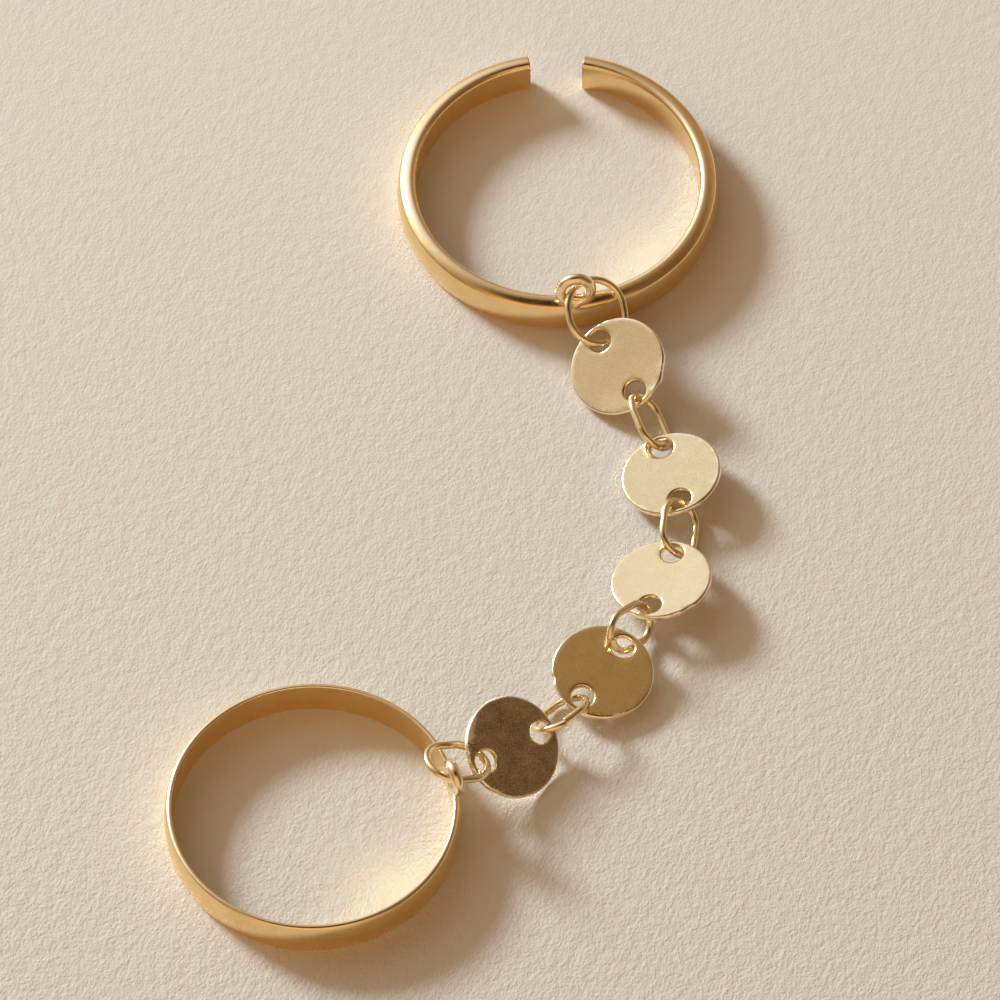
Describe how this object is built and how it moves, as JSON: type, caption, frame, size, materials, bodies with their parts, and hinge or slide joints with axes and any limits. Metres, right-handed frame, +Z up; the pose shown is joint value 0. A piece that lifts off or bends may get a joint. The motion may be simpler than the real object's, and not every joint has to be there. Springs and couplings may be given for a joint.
{
  "type": "finger chain ring",
  "caption": "Slim closed finger band and half-round open finger band, joined by a short chain of round drilled discs on jump rings, lying flat.",
  "frame": {"origin": "middle of the box that holds the ring as it lies, at the level of the table", "axes": "+Y from the closed band towards the open band along the longest extent, +Z up from the table along the axes of both bands, +X to the side that the chain bows towards"},
  "size_m": [0.0346, 0.0668, 0.005],
  "materials": {
    "band_gold": "polished gold plate with fine satin scratches",
    "disc_gold": "satin gold plate, faintly mottled",
    "wire_gold": "bright polished gold plate"
  },
  "bodies": {
    "root": {"closed_band": "band_gold", "open_band": "band_gold", "disc_1": "disc_gold", "disc_2": "disc_gold", "disc_3": "disc_gold", "disc_4": "disc_gold", "disc_5": "disc_gold", "jump_ring_1": "wire_gold", "jump_ring_2": "wire_gold", "jump_ring_3": "wire_gold", "jump_ring_4": "wire_gold", "jump_ring_5": "wire_gold", "jump_ring_6": "wire_gold"}
  },
  "joints": []
}
